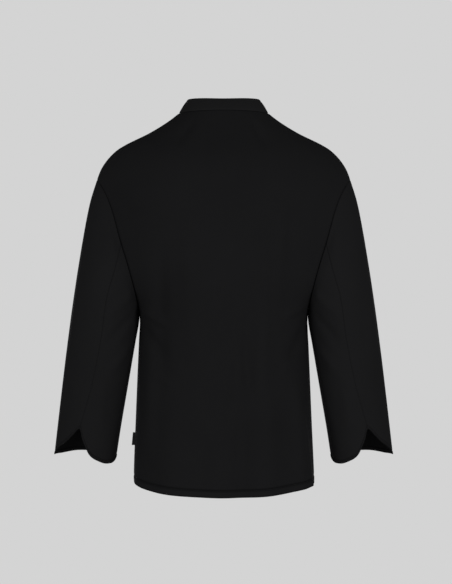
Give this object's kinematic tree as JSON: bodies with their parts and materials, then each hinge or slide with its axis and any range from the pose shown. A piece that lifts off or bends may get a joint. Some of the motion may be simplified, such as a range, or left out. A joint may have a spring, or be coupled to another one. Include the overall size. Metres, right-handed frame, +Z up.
{
  "type": "chef jacket",
  "caption": "Long-sleeved double-breasted chef jacket in its worn, hollow shape, with a stand collar, round buttons and notched cuffs.",
  "frame": {"origin": "on the jacket's middle line, level with the two points where the collar meets the shoulder seams", "axes": "+Z up the wearer's body, the wearer faces -Y, the wearer's left is +X"},
  "size_m": [0.6686, 0.2561, 0.7686],
  "materials": {
    "body_cloth": "plain black twill, matt",
    "sleeve_cloth": "plain black twill, matt",
    "collar_cloth": "plain black twill on an interlining, matt",
    "button_plastic": "black moulded plastic, satin",
    "tab_ribbon": "dark woven ribbon, plain"
  },
  "bodies": {
    "root": {"back": "body_cloth", "front_left": "body_cloth", "front_right": "body_cloth", "collar": "collar_cloth", "sleeve_upper_left": "sleeve_cloth", "sleeve_upper_right": "sleeve_cloth", "sleeve_under_left": "sleeve_cloth", "sleeve_under_right": "sleeve_cloth", "side_tab": "tab_ribbon", "button_left_1": "button_plastic", "button_left_2": "button_plastic", "button_left_3": "button_plastic", "button_left_4": "button_plastic", "button_left_5": "button_plastic", "button_right_1": "button_plastic", "button_right_2": "button_plastic", "button_right_3": "button_plastic", "button_right_4": "button_plastic", "button_right_5": "button_plastic"}
  },
  "joints": []
}
